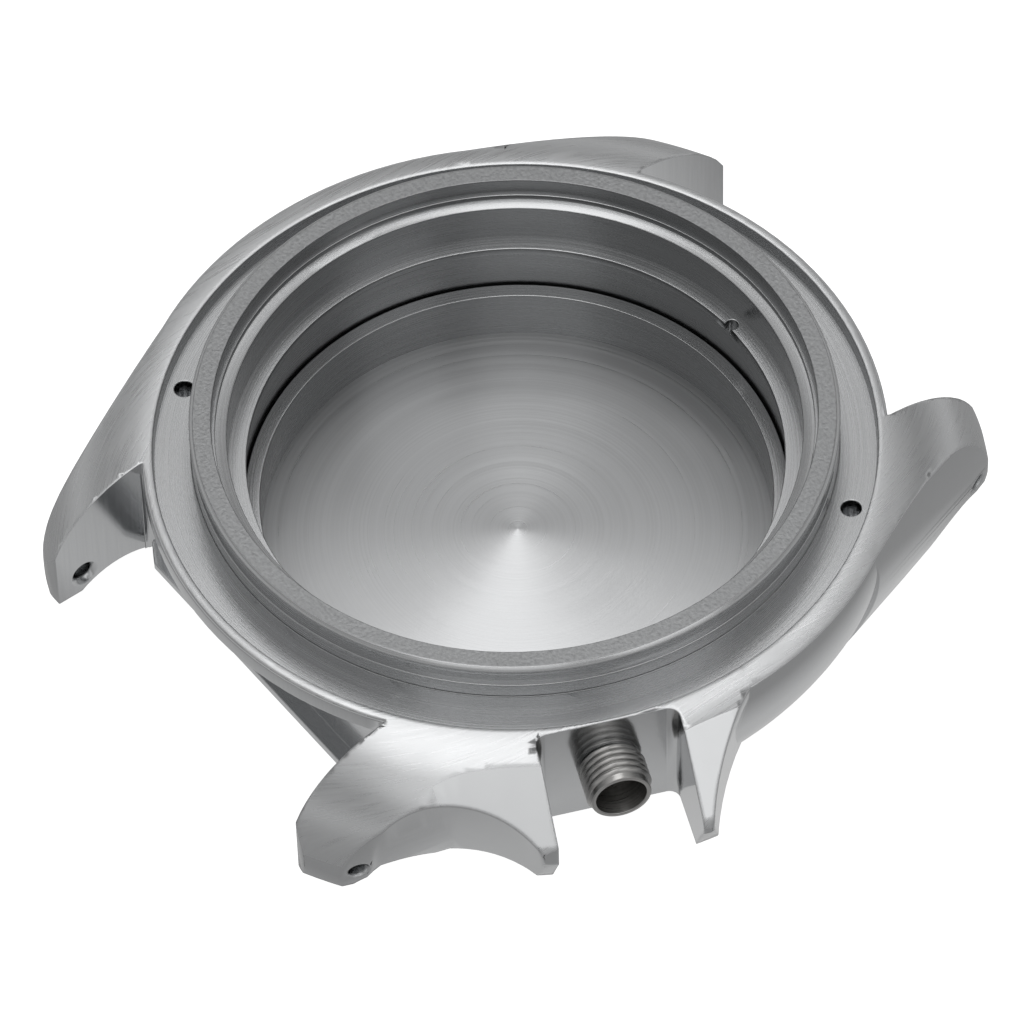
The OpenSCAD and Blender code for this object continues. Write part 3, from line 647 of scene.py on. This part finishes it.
@dataclass
class CrownTube:
    """The tube that the crown screws onto: a turned body, a helical thread and a small seal.

    A place along the tube, with a name that ends in u, is measured from the case's axis.

    Attributes:
        root_r: Radius of the thread's root.
        crest_r: Radius of the thread's crest.
        pitch: Rise of the thread in one turn.
        turns: Number of turns.
        steps_per_turn: Steps of the helix in one turn.
        foot_share: Half the width of the ridge's foot, as a share of the pitch.
        crest_half: Half the width of the ridge's crest.
        sunk: How far the ridge's foot lies inside the tube.
        end_gap: Gap between the thread and the tube's end.
        fade_part: Part of the pitch, as one over this number, in which the thread fades at an end.
        fade_sunk: How far under the root the crest lies where it has faded.
        shank_u: Inner end of the shank in the case.
        flat_u: Place where the shank ends and the thread's root starts.
        end_u: Outer end of the tube.
        shank_r: Radius of the shank.
        bore_r: Radius of the wide bore.
        bore_depth: Depth of the wide bore.
        stem_r: Radius of the narrow bore for the stem.
        seal_u: Start of the seal's groove.
        seal_w: Width of the seal's groove.
        seal_depth: Depth of the seal's groove.
        around: Steps round the tube.
        edges: How its edges are broken.
    """

    root_r: float = 1.63 * MM
    crest_r: float = 1.8 * MM
    pitch: float = 0.4 * MM
    turns: float = 4.9
    steps_per_turn: int = 64
    foot_share: float = 0.46
    crest_half: float = 0.03 * MM
    sunk: float = 0.06 * MM
    end_gap: float = 0.12 * MM
    fade_part: int = 3
    fade_sunk: float = 0.01 * MM
    shank_u: float = 16.07 * MM
    flat_u: float = 19.67 * MM
    end_u: float = 21.98 * MM
    shank_r: float = 1.6 * MM
    bore_r: float = 1.375 * MM
    bore_depth: float = 3.4 * MM
    stem_r: float = 0.8 * MM
    seal_u: float = 17.155 * MM
    seal_w: float = 0.6 * MM
    seal_depth: float = 0.45 * MM
    around: int = 128
    edges: EdgeBreak = field(default_factory=lambda: EdgeBreak(width=0.04 * MM))

    def place(self, bm: bmesh.types.BMesh) -> None:
        """Turns a shape from the Z axis onto the crown axis."""
        turn = CROWN_AXIS.to_track_quat("Z", "Y").to_matrix().to_4x4()
        bmesh.ops.transform(bm, matrix=Matrix.Translation((0, 0, CROWN_HEIGHT)) @ turn, verts=bm.verts)

    def body_shape(self) -> bmesh.types.BMesh:
        """Spins the tube's section: shank, seal groove, root of the thread, end ring and bores.

        Returns:
            The shape, which stands on the Z axis.
        """
        bore_end = self.end_u - self.bore_depth
        groove_r = self.shank_r - self.seal_depth
        seal_end = self.seal_u + self.seal_w
        section = [
            (self.stem_r, self.shank_u), (self.shank_r, self.shank_u),
            (self.shank_r, self.seal_u), (groove_r, self.seal_u),
            (groove_r, seal_end), (self.shank_r, seal_end),
            (self.shank_r, self.flat_u), (self.root_r, self.flat_u),
            (self.root_r, self.end_u), (self.bore_r, self.end_u),
            (self.bore_r, bore_end), (self.stem_r, bore_end - (self.bore_r - self.stem_r)),
        ]
        bm = bmesh.new()
        ring = [bm.verts.new((r, 0, u)) for r, u in section]
        for a, b in zip(ring, ring[1:] + ring[:1]):
            bm.edges.new((a, b))
        bmesh.ops.spin(bm, geom=bm.verts[:] + bm.edges[:], cent=(0, 0, 0), axis=(0, 0, 1), dvec=(0, 0, 0),
                       angle=math.tau, steps=self.around, use_merge=True)
        bmesh.ops.remove_doubles(bm, verts=bm.verts, dist=MERGE)
        bmesh.ops.recalc_face_normals(bm, faces=bm.faces)
        self.edges.cut(bm)
        return bm

    def thread_shape(self) -> bmesh.types.BMesh:
        """Spins a ridge up the tube as one helix, which fades at both ends.

        Returns:
            The shape, which stands on the Z axis.
        """
        half, foot_r = self.pitch * self.foot_share, self.root_r - self.sunk
        start = self.end_u - self.end_gap - self.turns * self.pitch - half
        section = [
            (foot_r, -half), (self.root_r, -half), (self.crest_r, -self.crest_half),
            (self.crest_r, self.crest_half), (self.root_r, half), (foot_r, half),
        ]
        bm = bmesh.new()
        ridge = [bm.verts.new((r, 0, start + z)) for r, z in section]
        profile = bm.faces.new(ridge)
        steps = round(self.turns * self.steps_per_turn)
        rise = self.turns * self.pitch / steps
        bmesh.ops.spin(bm, geom=[profile] + profile.edges[:] + profile.verts[:], cent=(0, 0, 0),
                       axis=(0, 0, 1), dvec=(0, 0, rise), angle=math.tau * self.turns, steps=steps)
        self.fade_ends(bm, half)
        bmesh.ops.recalc_face_normals(bm, faces=bm.faces)
        return bm

    def fade_ends(self, bm: bmesh.types.BMesh, half: float) -> None:
        """Lowers the ridge's crest into the tube where the helix starts and ends.

        Args:
            bm: The ridge, which stands on the Z axis.
            half: Half the width of the ridge's foot.
        """
        fade = self.pitch / self.fade_part
        low = min(v.co.z for v in bm.verts) + half
        high = max(v.co.z for v in bm.verts) - half
        for v in bm.verts:
            radius = math.hypot(v.co.x, v.co.y)
            angle = math.atan2(v.co.y, v.co.x) % math.tau
            turn = (v.co.z - low) / self.pitch
            middle = low + (round(turn - angle / math.tau) + angle / math.tau) * self.pitch
            share = min((middle - low) / fade, (high - middle) / fade, 1.0)
            if radius > self.root_r and share < 1.0:
                reach = self.root_r - self.fade_sunk + max(share, 0.0) * (radius - self.root_r)
                v.co.x, v.co.y = v.co.x * reach / radius, v.co.y * reach / radius

    def build(self, paint: Paintbox) -> list[bpy.types.Object]:
        """Makes the tube, its thread and its seal.

        Args:
            paint: Where the materials come from.

        Returns:
            The pieces.
        """
        tube = self.body_shape()
        self.place(tube)
        thread = self.thread_shape()
        self.place(thread)
        seal = self.edges.copy_of("crown_tube_seal")
        return [
            piece_from(tube, "crown_tube_body", [TUBE], paint, "case", ["crown_tube"]),
            piece_from(thread, "crown_tube_helix", [TUBE], paint, "case", []),
            piece_from(seal, "tube_seal", [Rubber()], paint, "case", ["crown_tube_seal"]),
        ]


@dataclass(frozen=True)
class SoftBox:
    """One soft lamp, given by where it stands and how bright its face is.

    Attributes:
        name: Name of the lamp.
        azimuth: Direction from the case, from +X towards +Y, in degrees.
        elevation: Height above the horizon, in degrees.
        distance: Distance from the case in metres.
        width: Width of its face in metres.
        brightness: Brightness of the face, where 1 is white.
        length: Length of its face in metres, or 0 for a square one.
        twist: Turn of its face about the way to the case, in degrees.
    """

    name: str
    azimuth: float
    elevation: float
    distance: float
    width: float
    brightness: float
    length: float = 0.0
    twist: float = 0.0

    def hang(self) -> None:
        """Adds the lamp to the scene, turned to the case."""
        flat, up = math.radians(self.azimuth), math.radians(self.elevation)
        way = Vector((math.cos(flat) * math.cos(up), math.sin(flat) * math.cos(up), math.sin(up)))
        lamp = bpy.data.lights.new(self.name, "AREA")
        lamp.shape = "RECTANGLE"
        lamp.size, lamp.size_y = self.width, self.length or self.width
        lamp.energy = self.brightness * math.pi * lamp.size * lamp.size_y
        holder = bpy.data.objects.new(self.name, lamp)
        holder.location = way * self.distance
        aim = way.to_track_quat("Z", "Y") @ Quaternion((0, 0, 1), math.radians(self.twist))
        holder.rotation_euler = aim.to_euler()
        bpy.context.scene.collection.objects.link(holder)


@dataclass
class Studio:
    """A pale floor, a plain room, soft lamps and the camera at the photograph's angle.

    Attributes:
        floor_side: Side of the floor in metres.
        floor_glow: Light that the floor adds for the camera, so that it shows nearly white.
        painted_pool_glow: Painted light: the extra glow that it adds for reflections under the case, a pool
            of light.
        far_glow: Light that it adds for reflections beyond the case.
        painted_pool_r: Radius up to which the floor is the one under the case, with the painted pool of
            light.
        far_r: Radius from which the floor is the one beyond it.
        paper: Colour of the floor as sRGB hex.
        mirrored_paper_painted_shade: Colour of the floor as reflections see it, as sRGB hex, darker than
            paper: painted shade in reflections.
        room_tones: Grey of the room by height, from the horizon at 0 to overhead at 1.
        camera_place: Where the camera stands.
        camera_target: Where it looks.
        camera_roll: Its turn about the way it looks, in radians.
        camera_reach: Nearest and farthest distance that it sees, in metres.
        lens: Its focal length, in millimetres.
        sensor: Width of its picture plane, in millimetres.
        lamps: The soft lamps.
    """

    floor_side: float = 3.0
    floor_glow: float = 0.9
    # Painted light: the floor glows more under the case than beyond it, seen only in reflections
    painted_pool_glow: float = 0.5
    far_glow: float = 0.2
    painted_pool_r: float = 22 * MM
    far_r: float = 27 * MM
    paper: str = "#C8C8C8"
    # Painted shade: reflections see the floor in this darker grey
    mirrored_paper_painted_shade: str = "#8A8A8A"
    room_tones: tuple[tuple[float, float], ...] = (
        (0.0, 0.8), (0.3, 0.5), (0.58, 0.26), (0.77, 0.6), (1.0, 0.5),
    )
    camera_place: tuple[float, float, float] = (219.65 * MM, -157.93 * MM, 343.03 * MM)
    camera_target: tuple[float, float, float] = (4.094 * MM, -3.163 * MM, 8.8 * MM)
    camera_roll: float = math.radians(-1.729)
    camera_reach: tuple[float, float] = (0.01, 20.0)
    lens: float = 280.3
    sensor: float = 36.0
    lamps: tuple[SoftBox, ...] = (
        SoftBox("overhead_box", azimuth=160, elevation=80, distance=0.5, width=0.22, brightness=1.35,
                length=0.5, twist=154),
        SoftBox("camera_side_box", azimuth=-44, elevation=48, distance=0.8, width=0.5, brightness=0.52),
        SoftBox("right_box", azimuth=12, elevation=42, distance=0.8, width=0.4, brightness=0.85),
    )

    def set_camera(self) -> None:
        """Adds the camera and turns it to the case with its small roll."""
        data = bpy.data.cameras.new("camera")
        data.lens, data.sensor_width = self.lens, self.sensor
        data.clip_start, data.clip_end = self.camera_reach
        ahead = (Vector(self.camera_target) - Vector(self.camera_place)).normalized()
        right = ahead.cross(Vector((0, 0, 1))).normalized()
        up = right.cross(ahead)
        cos, sin = math.cos(self.camera_roll), math.sin(self.camera_roll)
        turned_right, turned_up = right * cos + up * sin, up * cos - right * sin
        rows = Matrix((turned_right, turned_up, -ahead)).transposed().to_4x4()
        camera = bpy.data.objects.new("camera", data)
        camera.matrix_world = Matrix.Translation(self.camera_place) @ rows
        bpy.context.scene.collection.objects.link(camera)
        bpy.context.scene.camera = camera

    def lay_floor(self) -> None:
        """Lays a pale floor that keeps the shadow: nearly white for the camera, greyer for reflections by
        painted shade, with a painted pool of light under the case.
        """
        bm = bmesh.new()
        bmesh.ops.create_grid(bm, x_segments=1, y_segments=1, size=self.floor_side / 2)
        mesh = bpy.data.meshes.new("floor")
        bm.to_mesh(mesh)
        bm.free()
        floor = bpy.data.objects.new("floor", mesh)
        bpy.context.scene.collection.objects.link(floor)
        material, tree = blank_material("floor_pale")
        path = add(tree, "ShaderNodeLightPath")
        seen = add(tree, "ShaderNodeMath", {"operation": "MAXIMUM"},
                   {0: path.outputs["Is Glossy Ray"], 1: path.outputs["Is Transmission Ray"]})
        place = add(tree, "ShaderNodeTexCoord").outputs["Object"]
        reach = add(tree, "ShaderNodeVectorMath", {"operation": "LENGTH"}, {0: place})
        # Painted light: a pool of glow under the case, fading outwards, for reflections only
        painted_light_pool = add(tree, "ShaderNodeMapRange", {},
                   {"Value": reach.outputs["Value"], "From Min": self.painted_pool_r, "From Max": self.far_r,
                    "To Min": self.painted_pool_glow, "To Max": self.far_glow})
        lift = add(tree, "ShaderNodeMath", {"operation": "MULTIPLY"},
                   {0: seen.outputs[0], 1: painted_light_pool.outputs["Result"]})
        glow = add(tree, "ShaderNodeMath", {"operation": "MULTIPLY_ADD"},
                   {0: path.outputs["Is Camera Ray"], 1: self.floor_glow, 2: lift.outputs[0]})
        light = add(tree, "ShaderNodeEmission", {}, {"Color": (1, 1, 1, 1), "Strength": glow.outputs[0]})
        # Painted shade: reflections see a darker floor than the camera does
        paper = add(tree, "ShaderNodeMix", {"data_type": "RGBA"},
                    {"Factor": path.outputs["Is Glossy Ray"], "A": linear(self.paper),
                     "B": linear(self.mirrored_paper_painted_shade)})
        matt = add(tree, "ShaderNodeBsdfDiffuse", {}, {"Color": paper.outputs["Result"]})
        both = add(tree, "ShaderNodeAddShader", {}, {0: light.outputs[0], 1: matt.outputs[0]})
        add(tree, "ShaderNodeOutputMaterial", {}, {"Surface": both.outputs[0]})
        mesh.materials.append(material)

    def light_room(self) -> None:
        """Makes the room, white for the camera and grey by height for the rest, and hangs the lamps."""
        world = bpy.data.worlds.new("room")
        world.use_nodes = True
        tree = world.node_tree
        tree.nodes.clear()
        way = add(tree, "ShaderNodeTexCoord").outputs["Generated"]
        parts = add(tree, "ShaderNodeSeparateXYZ", {}, {0: way})
        ramp = add(tree, "ShaderNodeValToRGB", {}, {"Fac": parts.outputs["Z"]})
        stops = ramp.color_ramp.elements
        stops[0].position, stops[1].position = self.room_tones[0][0], self.room_tones[-1][0]
        for height, _ in self.room_tones[1:-1]:
            stops.new(height)
        for stop, (_, grey) in zip(stops, self.room_tones):
            stop.color = (grey, grey, grey, 1)
        path = add(tree, "ShaderNodeLightPath")
        tone = add(tree, "ShaderNodeMix", {"data_type": "RGBA"},
                   {"Factor": path.outputs["Is Camera Ray"], "A": ramp.outputs["Color"], "B": (1, 1, 1, 1)})
        back = add(tree, "ShaderNodeBackground", {}, {"Color": tone.outputs["Result"], "Strength": 1.0})
        add(tree, "ShaderNodeOutputWorld", {}, {"Surface": back.outputs[0]})
        bpy.context.scene.world = world
        for lamp in self.lamps:
            lamp.hang()

    def build(self) -> None:
        """Sets the camera, the floor, the room and the view's colours."""
        self.set_camera()
        self.lay_floor()
        self.light_room()
        bpy.context.scene.view_settings.view_transform = "Standard"


def main() -> None:
    """Builds the studio and every piece of the case."""
    logging.basicConfig(level=logging.INFO, format="%(name)s: %(message)s")
    paint = Paintbox()
    Studio().build()
    CaseMiddle().build(paint)
    ScrewBack().build(paint)
    CrownTube().build(paint)
    bpy.context.view_layer.update()


if __name__ == "__main__":
    main()
